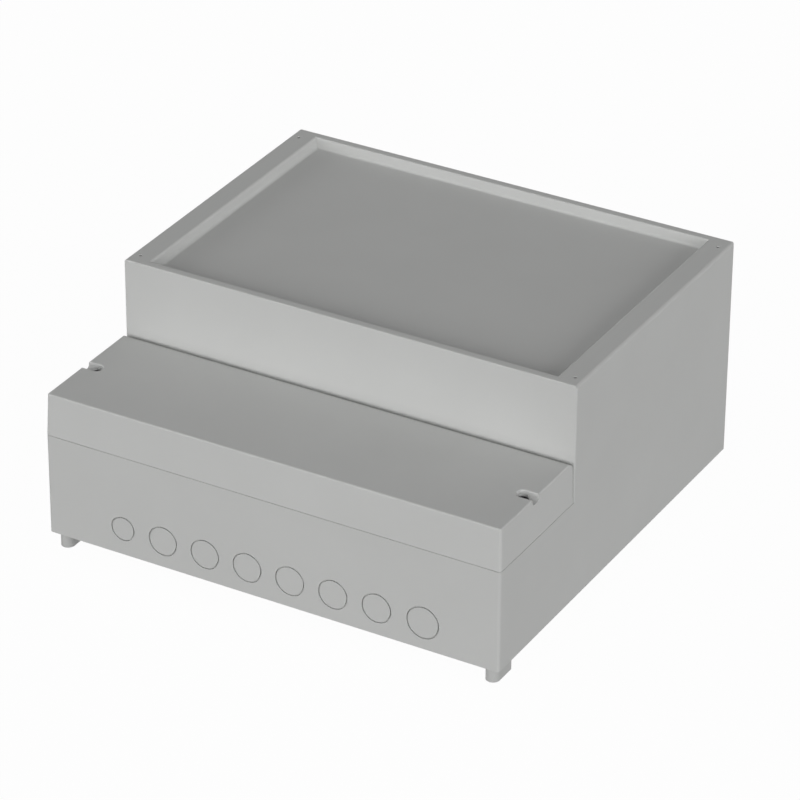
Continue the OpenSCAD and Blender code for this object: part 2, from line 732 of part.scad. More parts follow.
placed() housing();
placed() base_plate();
placed() base_screws();
placed() terminal_cover();
placed() cover_seal();
placed() cover_screw_left();
placed() cover_screw_right();
placed() screw_keepers();
placed() cover_inserts();
placed() mounting_plate();
placed() plate_screws();
placed() stud_inserts();
placed() terminal_rail();
placed() rail_screws();
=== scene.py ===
# %% [markdown]
# # A wall enclosure for a controller, dressed in Blender
# The solids come from a CAD model and are already in their places, in metres. This notebook gives them
# their finishes, replaces the small turned pieces by finer ones, and sets up a plain studio around them.
# Loading the frame first keeps every later piece in the same coordinates as the solids.

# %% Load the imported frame
import json
import math

import bpy
import numpy as np
from mathutils import Matrix


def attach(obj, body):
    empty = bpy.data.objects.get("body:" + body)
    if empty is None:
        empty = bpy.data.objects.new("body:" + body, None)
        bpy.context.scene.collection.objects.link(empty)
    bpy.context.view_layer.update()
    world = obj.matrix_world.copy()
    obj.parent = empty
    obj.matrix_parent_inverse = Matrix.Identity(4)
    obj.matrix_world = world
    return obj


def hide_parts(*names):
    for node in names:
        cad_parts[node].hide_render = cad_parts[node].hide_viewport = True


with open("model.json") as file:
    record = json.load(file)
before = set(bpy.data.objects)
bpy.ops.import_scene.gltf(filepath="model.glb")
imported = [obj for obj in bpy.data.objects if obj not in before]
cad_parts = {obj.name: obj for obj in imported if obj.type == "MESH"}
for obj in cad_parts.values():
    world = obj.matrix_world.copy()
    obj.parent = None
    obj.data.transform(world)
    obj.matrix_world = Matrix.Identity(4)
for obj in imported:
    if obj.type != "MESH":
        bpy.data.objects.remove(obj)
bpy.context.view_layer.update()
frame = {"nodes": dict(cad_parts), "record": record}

MM = 0.001
NODES = frame["nodes"]

# %% [markdown]
# ## The camera
# The photograph was taken with a long lens from the front right and above. Its angles and distance were
# found by fitting the straight edges of the housing, so here they are simply written down. A camera looks
# along its own minus Z, so its axes are the right, the up and the backward direction of the view.

# %% Camera at the photograph's angle
AZIMUTH, ELEVATION, ROLL = (math.radians(a) for a in (29.531, 29.807, 0.374))
LOOKED_AT = np.array((8.86, -8.05, 78.55)) * MM
DISTANCE = 2558.7 * MM
FOCAL_PIXELS, FRAME_PIXELS, SENSOR_MM = 4327.07, 800, 36.0
CLIP_NEAR, CLIP_FAR = 0.1, 50.0


def view_axes(azimuth, elevation, roll):
    """Right, up and backward unit vectors: backward by its two angles, right level with the floor, then
    right and up turned about the backward one by the roll."""
    backward = np.array((math.sin(azimuth) * math.cos(elevation),
                         -math.cos(azimuth) * math.cos(elevation), math.sin(elevation)))
    level = np.array((math.cos(azimuth), math.sin(azimuth), 0.0))
    upright = np.cross(backward, level)
    c, s = math.cos(roll), math.sin(roll)
    return c * level + s * upright, c * upright - s * level, backward


def add_aimed(name, data, axes, place):
    """Adds a camera or a lamp whose pose matrix has its three axes and then its place as columns."""
    thing = bpy.data.objects.new(name, data)
    bpy.context.scene.collection.objects.link(thing)
    pose = np.eye(4)
    pose[:3, :3] = np.stack(axes, axis=1)
    pose[:3, 3] = place
    thing.matrix_world = Matrix(pose.tolist())
    return thing


def add_camera():
    """A camera at the fitted distance, with the lens that gives the fitted focal length in pixels."""
    data = bpy.data.cameras.new("studio_camera")
    data.sensor_width, data.sensor_fit = SENSOR_MM, "HORIZONTAL"
    data.lens = FOCAL_PIXELS * SENSOR_MM / FRAME_PIXELS
    data.clip_start, data.clip_end = CLIP_NEAR, CLIP_FAR
    axes = view_axes(AZIMUTH, ELEVATION, ROLL)
    camera = add_aimed("studio_camera", data, axes, LOOKED_AT + axes[2] * DISTANCE)
    bpy.context.scene.camera = camera
    return camera


studio_camera = add_camera()
print("lens in mm:", round(studio_camera.data.lens, 1))

# %% [markdown]
# ## Shader maths that reads like Python
# A finish is a graph of nodes. Wrapping a socket in a small class lets a formula such as `1 - mask * 0.2`
# add its own Math nodes, so a material reads like the recipe it is. One method adds every other node.


# %% A socket that can be added and multiplied
class Wire:
    """An output socket in a graph of nodes. Sums and products on it add Math nodes to the same graph."""

    def __init__(self, tree, socket):
        self.tree, self.socket = tree, socket

    def add(self, kind, settings=None, inputs=None, output=0):
        """Adds a node: its settings first, then the values or links of its sockets. Returns one output."""
        node = self.tree.nodes.new(kind)
        for key, value in (settings or {}).items():
            setattr(node, key, value)
        for key, value in (inputs or {}).items():
            if isinstance(value, Wire):
                self.tree.links.new(value.socket, node.inputs[key])
            else:
                node.inputs[key].default_value = value
        return Wire(self.tree, node.outputs[output])

    def _math(self, operation, a, b):
        return self.add("ShaderNodeMath", {"operation": operation}, {0: a, 1: b})

    def __add__(self, other):
        return self._math("ADD", self, other)

    def __sub__(self, other):
        return self._math("SUBTRACT", self, other)

    def __rsub__(self, other):
        return self._math("SUBTRACT", other, self)

    def __mul__(self, other):
        return self._math("MULTIPLY", self, other)

    def larger(self, other):
        """The larger of the two values."""
        return self._math("MAXIMUM", self, other)

    __radd__ = __add__


print("wires ready")

# %% [markdown]
# ## The parts of a finish
# A painter mixes a few colours and stipples them on. A finish here is made the same way, from greys, clouds
# of noise and small bumps. Every cloud reads the place on the piece in metres, so a grain of half a
# millimetre is written as such and doesn't stretch with the piece.


# %% Colours, clouds and bumps
def grey(value, tint=(0.0, 0.0, 0.0)):
    """A linear colour from one display grey of 0 to 255 and small display shifts of its channels, by the
    sRGB curve: a straight part near black, then a power of 2.4."""
    shown = np.clip((np.array((value,) * 3) + np.array(tint)) / 255.0, 0.0, 1.0)
    linear = np.where(shown <= 0.04045, shown / 12.92, ((shown + 0.055) / 1.055) ** 2.4)
    return (*linear.tolist(), 1.0)


def new_finish(name):
    """A new material, its shader, and the place on the piece in metres as a Wire."""
    material = bpy.data.materials.new(name)
    material.use_nodes = True
    tree = material.node_tree
    place = Wire(tree, tree.nodes.new("ShaderNodeTexCoord").outputs["Object"])
    return material, tree.nodes["Principled BSDF"], place


def feed(shader, **sockets):
    """Links a Wire to a shader socket, or sets a plain value on it. Names use _ for a blank."""
    for key, value in sockets.items():
        socket = shader.inputs[key.replace("_", " ")]
        if isinstance(value, Wire):
            value.tree.links.new(value.socket, socket)
        else:
            socket.default_value = value


def noise(place, size, detail=2.0, roughness=0.5):
    """Cloudy values of 0 to 1, with lumps about as large as size in metres."""
    return place.add("ShaderNodeTexNoise", {"noise_dimensions": "3D"},
                     {"Vector": place, "Scale": 1.0 / size, "Detail": detail, "Roughness": roughness})


def blend_colour(place, factor, low, high):
    """A colour that goes from low to high as the factor goes from 0 to 1."""
    return place.add("ShaderNodeMix", {"data_type": "RGBA"}, {0: factor, 6: low, 7: high}, output=2)


def bump(place, height, strength, depth):
    """Tilts the surface as if the height, of 0 to 1, raised it by up to depth in metres."""
    return place.add("ShaderNodeBump", {}, {"Strength": strength, "Distance": depth, "Height": height})


print("shader helpers ready")

# %% [markdown]
# ## Light grey moulded plastic
# The housing and its cover are moulded in a tool whose walls were spark eroded, which leaves a fine even
# grain on every outer face, about half a millimetre from lump to lump. The colour drifts very slightly, as
# the melt cools at different rates, and the gloss drifts with it. Such a grain breaks up nearly all of the
# mirror image: the photograph shows no sheen, so only a trace of it is left.

# %% Moulded plastic
DRIFT_SIZE, DRIFT_STEPS = 0.06, 4
DRIFT_SHARE, SPECK_SHARE = 0.8, 0.2
DRIFT_GLOSS, SPECK_GLOSS = 0.08, 0.12
GRAIN_STRENGTH, GRAIN_DEPTH = 0.35, 0.00004
PLASTIC_IOR, SHEEN = 1.5, 0.02
LIGHT_TINT, BASE_TINT = (0, 0.8, -0.6), (0, 0.8, -0.5)


def moulded_plastic(name, shade, tint, grain, gloss):
    """The shade goes up to DRIFT_STEPS display steps either way, mostly with a cloud of some centimetres and
    a little with the grain. The roughness follows both, and the bump follows the grain."""
    material, shader, place = new_finish(name)
    drift = noise(place, DRIFT_SIZE, detail=3.0)
    speck = noise(place, grain, roughness=0.6)
    mottle = drift * DRIFT_SHARE + speck * SPECK_SHARE
    darker, lighter = grey(shade - DRIFT_STEPS, tint), grey(shade + DRIFT_STEPS, tint)
    feed(shader, Base_Color=blend_colour(place, mottle, darker, lighter),
         Roughness=gloss + (drift - 0.5) * DRIFT_GLOSS + (speck - 0.5) * SPECK_GLOSS,
         Normal=bump(place, speck, GRAIN_STRENGTH, GRAIN_DEPTH),
         IOR=PLASTIC_IOR, Specular_IOR_Level=SHEEN)
    return material


SHELL_FINISH = moulded_plastic("light_grey_moulding", 204, LIGHT_TINT, grain=0.00045, gloss=0.5)
# Painted light: the cover is the housing's plastic drawn two display steps lighter, to brighten its top,
# which the taller block behind it keeps from part of the light.
COVER_PAINTED_LIGHTER_FINISH = moulded_plastic("light_grey_moulding_painted_lighter", 206, LIGHT_TINT, grain=0.00045, gloss=0.5)
BASE_FINISH = moulded_plastic("grey_base_moulding", 197, BASE_TINT, grain=0.0006, gloss=0.55)
print("plastics:", SHELL_FINISH.name, COVER_PAINTED_LIGHTER_FINISH.name, BASE_FINISH.name)

# %% [markdown]
# ## Metals
# Screws, rail and plate are steel with a thin zinc coat, which shows faint cloudy crystals. The two cover
# screws look dark in the photograph, so they are drawn in a near-black metal. The inserts are turned brass.
# All are one recipe, with other colours, crystal sizes and gloss.

# %% Zinc, black steel, brass
CRYSTAL_SHARE, HAZE_SHARE = 0.6, 0.4
HAZE_SIZE, HAZE_GLOSS = 0.25, 0.2


def plated_metal(name, dark, light, crystal, gloss):
    """The colour follows crystals, drawn as cells of a given size in metres, and a finer haze. The roughness
    follows the haze."""
    material, shader, place = new_finish(name)
    cells = place.add("ShaderNodeTexVoronoi", {}, {"Vector": place, "Scale": 1.0 / crystal})
    haze = noise(place, crystal * HAZE_SIZE, detail=3.0)
    mix = cells * CRYSTAL_SHARE + haze * HAZE_SHARE
    feed(shader, Base_Color=blend_colour(place, mix, dark, light), Metallic=1.0,
         Roughness=gloss + (haze - 0.5) * HAZE_GLOSS)
    return material


ZINC_SCREW = plated_metal("zinc_plated_screw", (0.50, 0.51, 0.53, 1), (0.72, 0.73, 0.75, 1),
                          crystal=0.0015, gloss=0.3)
# A near-black metal for the two cover screws, as dark as their wells look.
BLACK_SCREW = plated_metal("near_black_screw", (0.03, 0.03, 0.033, 1), (0.07, 0.07, 0.075, 1),
                           crystal=0.0015, gloss=0.3)
ZINC_SHEET = plated_metal("zinc_plated_sheet", (0.52, 0.54, 0.57, 1), (0.70, 0.72, 0.75, 1),
                          crystal=0.006, gloss=0.38)
BRASS = plated_metal("turned_brass", (0.58, 0.40, 0.14, 1), (0.78, 0.58, 0.26, 1),
                     crystal=0.001, gloss=0.28)
print("metals:", ZINC_SCREW.name, BLACK_SCREW.name, ZINC_SHEET.name, BRASS.name)

# %% [markdown]
# ## Rubber and nylon
# The seal and the screw keepers are dark, with little gloss. Rubber blooms: a dust of wax comes to its
# surface and greys it in soft clouds, which is why it never looks like flat black.

# %% Dark elastic pieces
BLOOM_SIZE, BLOOM_STEPS, BLOOM_GLOSS = 0.004, 14, 0.15
SKIN_SIZE, SKIN_STRENGTH, SKIN_DEPTH = 0.0004, 0.3, 0.00003


def dark_elastic(name, shade, gloss):
    """Nearly black. A cloud of bloom adds up to BLOOM_STEPS display steps and changes the roughness, and a
    very fine grain makes the bump."""
    material, shader, place = new_finish(name)
    bloom = noise(place, BLOOM_SIZE, detail=3.0)
    feed(shader, Base_Color=blend_colour(place, bloom, grey(shade), grey(shade + BLOOM_STEPS)),
         Roughness=gloss + (bloom - 0.5) * BLOOM_GLOSS,
         Normal=bump(place, noise(place, SKIN_SIZE), SKIN_STRENGTH, SKIN_DEPTH))
    return material


RUBBER = dark_elastic("black_rubber", shade=34, gloss=0.75)
NYLON = dark_elastic("black_nylon", shade=40, gloss=0.55)
print("elastic:", RUBBER.name, NYLON.name)

# %% [markdown]
# ## Each solid gets its finish
# The CAD record names a material slot for every node, so the finishes are dealt out by slot. The two cover
# screws share a slot with the other screws, and are named one by one because they alone are near black.

# %% Give the solids their finishes
FINISH_OF = {"shell": SHELL_FINISH, "cover": COVER_PAINTED_LIGHTER_FINISH, "base": BASE_FINISH, "steel": ZINC_SCREW,
             "zinc": ZINC_SHEET, "brass": BRASS, "seal": RUBBER, "keeper": NYLON}
SLOT_OF = {part["node"]: part["material_slot"] for part in frame["record"]["subparts"]}
NODE_FINISH = {name: FINISH_OF[slot] for name, slot in SLOT_OF.items()}
NODE_FINISH.update(cover_screw_left=BLACK_SCREW, cover_screw_right=BLACK_SCREW)


def dress(piece, finish):
    """Puts one finish in every material slot of a piece."""
    for place in piece.material_slots:
        place.material = finish


for name, node in NODES.items():
    dress(node, NODE_FINISH[name])
print("dressed:", len(NODES))

# %% [markdown]
# ## Grids that become meshes
# Screws, inserts, rings and the seal are each an outline carried round an axis or along a path. Such a
# shape could be spun or swept by a modifier, but then a thread or a knurl would need extra tools. Worked
# out as one array of points, ring after ring, a thread is only a formula. The helpers join neighbouring
# rings by quads, close open ends with a pole, and repeat the result at every place where the piece sits.


# %% Faces between the rings of a grid
def grid_faces(rings, around, looped):
    """Quads between each ring and the next one, closed round the ring, and from the last ring back to the
    first where looped. Otherwise two fans of triangles join the end rings to two poles."""
    ring = np.arange(rings if looped else rings - 1)[:, None]
    step = np.arange(around)[None, :]
    after, beside = (ring + 1) % rings, (step + 1) % around
    quads = np.stack((ring * around + step, ring * around + beside, after * around + beside,
                      after * around + step), axis=-1).reshape(-1, 4)
    if looped:
        return quads, np.empty((0, 3), int)
    first, last = np.arange(around), np.arange(around) + (rings - 1) * around
    pole = np.full(around, rings * around)
    low = np.stack((np.roll(first, -1), first, pole), axis=-1)
    high = np.stack((last, np.roll(last, -1), pole + 1), axis=-1)
    return quads, np.concatenate((low, high))


print("quads and triangles on two rings of 8:", [len(faces) for faces in grid_faces(2, 8, False)])

# %% Copies of a grid as one piece
SHARP_ANGLE = math.radians(40.0)


def copied(points, places, turns, flip):
    """All copies of the points in one array: turned over about X where flip, turned about Z by each angle in
    degrees, then moved to each place."""
    points = points * ((1, -1, -1) if flip else (1, 1, 1))
    angle = np.radians(np.resize(turns, len(places)))[:, None]
    x = points[:, 0] * np.cos(angle) - points[:, 1] * np.sin(angle)
    y = points[:, 0] * np.sin(angle) + points[:, 1] * np.cos(angle)
    z = np.broadcast_to(points[:, 2], x.shape)
    return (np.stack((x, y, z), axis=-1) + places[:, None]).reshape(-1, 3)


def add_piece(name, node, body, grid, places, turns=(0.0,), looped=False, flip=False):
    """Makes copies of a grid in millimetres into one mesh in metres, which stands for a CAD node, takes its
    finish and rides on its body. Open ends get a pole at the middle of the end ring."""
    points, places = grid.reshape(-1, 3), np.asarray(places, float)
    if not looped:
        points = np.concatenate((points, grid[[0, -1]].mean(axis=1)))
    shift = np.arange(len(places))[:, None, None] * len(points)
    quads, fans = (faces[None] + shift for faces in grid_faces(*grid.shape[:2], looped))
    mesh = bpy.data.meshes.new(name)
    mesh.from_pydata((copied(points, places, turns, flip) * MM).tolist(), [],
                     quads.reshape(-1, 4).tolist() + fans.reshape(-1, 3).tolist())
    mesh.polygons.foreach_set("use_smooth", np.ones(len(mesh.polygons), bool))
    mesh.set_sharp_from_angle(angle=SHARP_ANGLE)
    mesh.materials.append(NODE_FINISH[node])
    piece = bpy.data.objects.new(name, mesh)
    bpy.context.scene.collection.objects.link(piece)
    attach(piece, body)
    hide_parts(node)
    print(name, "copies:", len(places), "faces:", len(mesh.polygons))
    return piece


print("edges look sharp above", round(math.degrees(SHARP_ANGLE)), "degrees")

# %% [markdown]
# ## Outlines carried round an axis
# A lathe makes a round piece by one outline. Here the outline is a list of radii and heights, and a thread
# or a knurl is a small amount taken off the radius, which depends on the height and on the angle.


# %% Outline helpers
def along(start, end, step):
    """Points from one corner of an outline to the next, at most step apart, without the last one."""
    count = max(1, math.ceil(math.dist(start, end) / step))
    return np.linspace(start, end, count + 1)[:-1]


def zigzag(turns):
    """Goes from 1 down to 0 and back to 1 with every whole turn."""
    return np.abs(2.0 * (turns - np.floor(turns)) - 1.0)


def ramp(value):
    """The value, held at 0 below 0 and at 1 above 1."""
    return np.clip(value, 0.0, 1.0)


def spun(outline, count, change):
    """Carries an outline of (radius, height) round the Z axis. The change is taken off the radius and is a
    function of the grids of radius, height and angle in turns."""
    turns = np.linspace(0.0, 1.0, count, endpoint=False)[None, :]
    radius, height = (outline[:, k, None] + 0.0 * turns for k in (0, 1))
    radius = radius - change(radius, height, turns)
    angle = 2.0 * np.pi * turns
    return np.stack((radius * np.cos(angle), radius * np.sin(angle), height), axis=-1)


print("outline helpers ready")

# %% [markdown]
# ## Screws with a thread and a cross recess
# A real machine screw is cold headed, which presses the cross recess, and then its thread is rolled. Here
# the outline runs from the tip up the shank to the middle of the head. The thread is a zigzag of height
# minus angle taken off the shank, and the recess sinks the top of the head inside two crossed bars.

# %% Heads
M4_SHANK, M4_PITCH = 2.0, 0.7
PAN_BULGE, PAN_SIDE = 0.42, (-90.0, 60.0)
SIDE_STEPS, DOME_STEPS, FACE_STEPS = 9, 26, 28
RIM_FLAT, MIDDLE = 0.15, 0.01


def pan_head(radius, high, shank):
    """Outline of a pan head on height 0: a flat seat, a side that follows an arc, and a low dome that falls
    with the square of the radius."""
    bulge = PAN_BULGE * high
    side = np.radians(np.linspace(*PAN_SIDE, SIDE_STEPS))
    rim = np.stack((radius - bulge + bulge * np.cos(side), bulge + bulge * np.sin(side)), axis=-1)
    out = np.linspace(1.0, MIDDLE, DOME_STEPS)[1:]
    dome = np.stack((out * rim[-1, 0], rim[-1, 1] + (high - rim[-1, 1]) * (1.0 - out ** 2)), axis=-1)
    return np.concatenate((((shank, 0.0),), rim, dome))


def countersunk_head(radius, high, shank):
    """Outline of a countersunk head below height 0: a cone from the shank, a thin rim and a flat face."""
    out = np.linspace(1.0, MIDDLE, FACE_STEPS)
    face = np.stack((out * (radius - RIM_FLAT), 0.0 * out), axis=-1)
    return np.concatenate((((shank, -high), (radius - RIM_FLAT, -RIM_FLAT)), face))


cover_head = pan_head(radius=3.0, high=2.6, shank=M4_SHANK)
print("points in the outline of a cover screw's head:", len(cover_head))

# %% Screw formula
ROUND_SIDES, TIP_STEP, STEPS_A_PITCH, THREAD_DEPTH = 72, 0.2, 5.0, 0.5
BAR_HALF_W, BAR_HALF_L, BAR_DRAFT, BAR_DEPTH = 0.66, 2.0, 0.25, 1.3


def cross_recess(x, y):
    """1 on the floor of two crossed bars, and falling to 0 over the draft of their walls."""
    def bar(length_way, width_way):
        ends = ramp((BAR_HALF_L - length_way) / (2 * BAR_DRAFT))
        return ramp((BAR_HALF_W - width_way) / BAR_DRAFT) * ends
    return np.maximum(bar(x, y), bar(y, x))


def screw_grid(head, shank, tip, length, pitch, threaded):
    """The tip (its radius and height), the threaded length, the plain shank and the head. The thread takes
    half a pitch times a zigzag of (height / pitch - turns) off the radius and fades out over its ends."""
    start, shoulder = (tip[0], -length), (shank, tip[1] - length)
    thread_end = (shank, threaded - length)
    outline = np.concatenate((along(start, shoulder, TIP_STEP),
                              along(shoulder, thread_end, pitch / STEPS_A_PITCH), (thread_end,), head))

    def thread(radius, height, turns):
        fade = ramp((thread_end[1] - height) / pitch) * ramp((height + length) / pitch)
        return THREAD_DEPTH * pitch * zigzag(height / pitch - turns) * fade * (radius / shank)

    grid = spun(outline, ROUND_SIDES, thread)
    top = np.arange(len(outline)) > len(outline) - 1 - np.argmax(outline[::-1, 0])
    grid[..., 2] -= BAR_DEPTH * cross_recess(np.abs(grid[..., 0]), np.abs(grid[..., 1])) * top[:, None]
    return grid


print("sides round a screw:", ROUND_SIDES)

# %% [markdown]
# ## Cover screws
# One screw stands in a deep well at each end of the cover and reaches down to a brass insert in the housing.
# Both are one grid, made once. Each is a piece of its own because each turns by itself, and each stops at
# another angle, as screws do that were tightened by hand.

# %% Cover screws in their wells
SCREW_X, SCREW_Y = 142.3, -102.9
SCREW_SEAT, SCREW_TIP = 98.6, 61.6
cover_screw = screw_grid(cover_head, M4_SHANK, tip=(1.4, 0.6), length=SCREW_SEAT - SCREW_TIP,
                         pitch=M4_PITCH, threaded=12.0)
for side, sign, turn in (("left", -1, 28.0), ("right", 1, 64.0)):
    add_piece(f"cover_screw_{side}_threaded", f"cover_screw_{side}", f"{side}_screw", cover_screw,
              [(sign * SCREW_X, SCREW_Y, SCREW_SEAT)], (turn,))

# %% [markdown]
# ## Fixing screws
# Six countersunk screws hold the base plate from behind, and their heads are the only metal seen there.
# They have a coarse thread that cuts its own way into plastic, and a sharp tip. The pan head screws inside
# hold the mounting plate on its studs and the rail on its posts. All share the formula above.


# %% Base, plate and rail screws
def both_sides(x, rows, z):
    """Places at minus x and plus x in every row, all at one height."""
    return [(sign * x, y, z) for y in rows for sign in (-1, 1)]


BASE_UNDER, POST_Y = 10.6, (-102.9, 43.5, 133.5)
PLATE_TOP, STUD_X, STUD_Y = 23.6, 116.0, (-32.5, 119.5)
RAIL_SEAT, RAIL_SCREW_X, RAIL_Y = 20.6, 87.5, -99.5
TAP_SHANK, TAP_PITCH, TAP_TIP, M4_TIP = 1.8, 1.3, (0.4, 2.0), (1.5, 0.5)
base_head = countersunk_head(radius=3.7, high=2.0, shank=TAP_SHANK)
m4_head = pan_head(radius=3.8, high=2.6, shank=M4_SHANK)
base_screw = screw_grid(base_head, TAP_SHANK, TAP_TIP, length=16.0, pitch=TAP_PITCH, threaded=13.0)
plate_screw = screw_grid(m4_head, M4_SHANK, M4_TIP, length=8.0, pitch=M4_PITCH, threaded=7.0)
rail_screw = screw_grid(m4_head, M4_SHANK, M4_TIP, length=7.0, pitch=M4_PITCH, threaded=6.0)
add_piece("base_screws_threaded", "base_screws", "enclosure", base_screw,
          both_sides(SCREW_X, POST_Y, BASE_UNDER), (12.0, 47.0, 80.0, 33.0, 5.0, 61.0), flip=True)
add_piece("plate_screws_threaded", "plate_screws", "enclosure", plate_screw,
          both_sides(STUD_X, STUD_Y, PLATE_TOP), (20.0, 75.0, 41.0, 8.0))
add_piece("rail_screws_threaded", "rail_screws", "enclosure", rail_screw,
          both_sides(RAIL_SCREW_X, (RAIL_Y,), RAIL_SEAT), (15.0, 52.0))

# %% [markdown]
# ## Knurled brass inserts
# Inserts are turned from brass bar and pressed warm into the plastic, which flows into the knurl and the
# groove. The outline goes up the outside, over the rim and down the bore, so it closes on itself. The knurl
# takes a zigzag of the angle off the two outer bands, and the bore gets the thread of its screw.

# %% Insert formula
KNURL_TEETH, KNURL_DEPTH, SIDES_A_TOOTH = 28, 0.18, 4
INSERT_CHAMFER, INSERT_GROOVE, GROOVE_LOW, GROOVE_HIGH = 0.4, 0.3, 0.45, 0.60
INSERT_R, INSERT_STEP, BORE_THREAD, HAIR = 2.9, 0.18, 0.4, 0.01
COVER_INSERT_LOW, STUD_INSERT_LOW = 63.6, 14.6


def insert_grid(outer, bore, length, pitch):
    """A closed outline round the axis. Outside, the radius loses a zigzag of KNURL_TEETH per turn on the
    bands; inside, the bore grows by a thread. Chamfers stay plain."""
    rim, waist, mouth = outer - KNURL_DEPTH, outer - INSERT_GROOVE, bore + INSERT_CHAMFER
    low, high, shoulder = GROOVE_LOW * length, GROOVE_HIGH * length, length - INSERT_CHAMFER
    corners = [(mouth, 0.0), (rim, 0.0), (outer, INSERT_CHAMFER), (outer, low), (waist, low), (waist, high),
               (outer, high), (outer, shoulder), (rim, length), (mouth, length), (bore, shoulder),
               (bore, INSERT_CHAMFER)]
    outline = np.concatenate([along(a, b, INSERT_STEP) for a, b in zip(corners, corners[1:] + corners[:1])])

    def cut(radius, height, turns):
        knurl = (radius > outer - HAIR) * KNURL_DEPTH * zigzag(KNURL_TEETH * turns)
        fade = ramp(np.minimum(height - INSERT_CHAMFER, shoulder - height) / pitch)
        thread = (radius < bore + HAIR) * BORE_THREAD * pitch * zigzag(height / pitch - turns) * fade
        return knurl - thread

    return spun(outline, SIDES_A_TOOTH * KNURL_TEETH, cut)


cover_insert = insert_grid(INSERT_R, bore=2.08, length=9.0, pitch=M4_PITCH)
stud_insert = insert_grid(INSERT_R, bore=2.05, length=7.0, pitch=M4_PITCH)
add_piece("cover_inserts_knurled", "cover_inserts", "enclosure", cover_insert,
          both_sides(SCREW_X, (SCREW_Y,), COVER_INSERT_LOW), (0.0, 5.0), looped=True)
add_piece("stud_inserts_knurled", "stud_inserts", "enclosure", stud_insert,
          both_sides(STUD_X, STUD_Y, STUD_INSERT_LOW), (0.0, 3.0, 6.0, 9.0), looped=True)

# %% [markdown]
# ## Screw keepers
# A nylon ring with six soft lobes in its bore holds each cover screw, so that the screws stay in the cover
# when it comes off. It would be moulded. Here it is one more outline round an axis, with rounded edges, and
# a cosine of the angle opens its bore between the lobes.

# %% Keeper formula
KEEPER_EDGE, EDGE_STEPS, KEEPER_LOBES, LOBE, KEEPER_LOW = 0.18, 5, 6, 0.35, 72.75


def keeper_grid(outer, bore, thick):
    """A ring with rounded edges. Its bore opens between the lobes by a cosine of KEEPER_LOBES times the
    angle."""
    corner = np.radians(np.linspace(0.0, 90.0, EDGE_STEPS))
    quarter = np.stack((np.cos(corner), np.sin(corner)), axis=-1) * KEEPER_EDGE
    mid_out, mid_in, top = outer - KEEPER_EDGE, bore + KEEPER_EDGE, thick - KEEPER_EDGE
    outline = np.concatenate((quarter[::-1] * (1, -1) + (mid_out, KEEPER_EDGE),
                              quarter + (mid_out, top),
                              quarter[::-1] * (-1, 1) + (mid_in, top),
                              quarter * (-1, -1) + (mid_in, KEEPER_EDGE)))

    def lobes(radius, height, turns):
        inside = radius < 0.5 * (outer + bore)
        return inside * -LOBE * (0.5 + 0.5 * np.cos(2.0 * KEEPER_LOBES * np.pi * turns))

    return spun(outline, ROUND_SIDES, lobes)


add_piece("screw_keepers_lobed", "screw_keepers", "cover", keeper_grid(outer=3.3, bore=2.08, thick=1.0),
          both_sides(SCREW_X, (SCREW_Y,), KEEPER_LOW), (10.0, 40.0), looped=True)

# %% [markdown]
# ## The seal
# The seal is a strip of rubber with rounded sides and a shallow groove, extruded and then laid in a frame
# under the cover. Its outline is carried along a rounded rectangle instead of round an axis.

# %% Seal formula
SEAL_LOW, SEAL_THICK, SEAL_WIDTH = 72.6, 2.0, 2.6
SEAL_HALF_X, SEAL_FRONT, SEAL_REAR = 131.5, -136.0, -66.5
SEAL_CORNER_R, CORNER_STEPS, SEAL_SIDES = 3.0, 12, 28
SEAL_POWER, SEAL_GROOVE, GROOVE_SPREAD = 0.45, 0.35, 0.22


def seal_path():
    """Points on a rectangle with rounded corners, and their outward directions. Each corner is a quarter of
    a circle and the sides between them stay straight."""
    turn = np.radians(np.linspace(0.0, 90.0, CORNER_STEPS))
    angle = np.concatenate([turn + quarter * np.pi / 2 for quarter in range(4)])
    x, front, rear = SEAL_HALF_X - SEAL_CORNER_R, SEAL_FRONT + SEAL_CORNER_R, SEAL_REAR - SEAL_CORNER_R
    centre = np.repeat([(x, rear), (-x, rear), (-x, front), (x, front)], CORNER_STEPS, axis=0)
    outward = np.stack((np.cos(angle), np.sin(angle)), axis=-1)
    return centre + outward * SEAL_CORNER_R, outward


def seal_grid():
    """An oval outline, whose sine and cosine are raised to SEAL_POWER to square it off, with a bell curve
    taken off its upper side as the groove, set across every point of the path."""
    path, outward = seal_path()
    phase = np.linspace(0.0, 2.0 * np.pi, SEAL_SIDES, endpoint=False)
    c, s = np.cos(phase), -np.sin(phase)
    across = np.sign(c) * np.abs(c) ** SEAL_POWER * SEAL_WIDTH / 2
    upward = np.sign(s) * np.abs(s) ** SEAL_POWER * SEAL_THICK / 2
    bell = np.exp(-(across / (GROOVE_SPREAD * SEAL_WIDTH)) ** 2)
    upward -= np.where(s > 0, SEAL_GROOVE * bell, 0.0)
    plan = path[:, None] + outward[:, None] * across[None, :, None]
    return np.concatenate((plan, np.broadcast_to(upward[None, :, None], (*plan.shape[:2], 1))), axis=-1)


add_piece("cover_seal_rounded", "cover_seal", "cover", seal_grid(),
          [(0.0, 0.0, SEAL_LOW + SEAL_THICK / 2)], looped=True)

# %% [markdown]
# ## The floor
# The photograph has a white ground with hardly a shadow, as if the part stood on a light table. So the floor
# glows white to the camera and in mirrors, and a small share of a plain pale surface keeps the shadow.

# %% Floor
FLOOR_HALF, FLOOR_LOW, FLOOR_SHADE, FLOOR_GLOW = 6.0, -0.0002, 250, 0.97


def sees_background(place):
    """1 for the rays that show the background: from the camera, off a shiny face or through glass."""
    camera, glossy, through = (place.add("ShaderNodeLightPath", output=f"Is {kind} Ray") for kind in
                               ("Camera", "Glossy", "Transmission"))
    return camera.larger(glossy).larger(through)


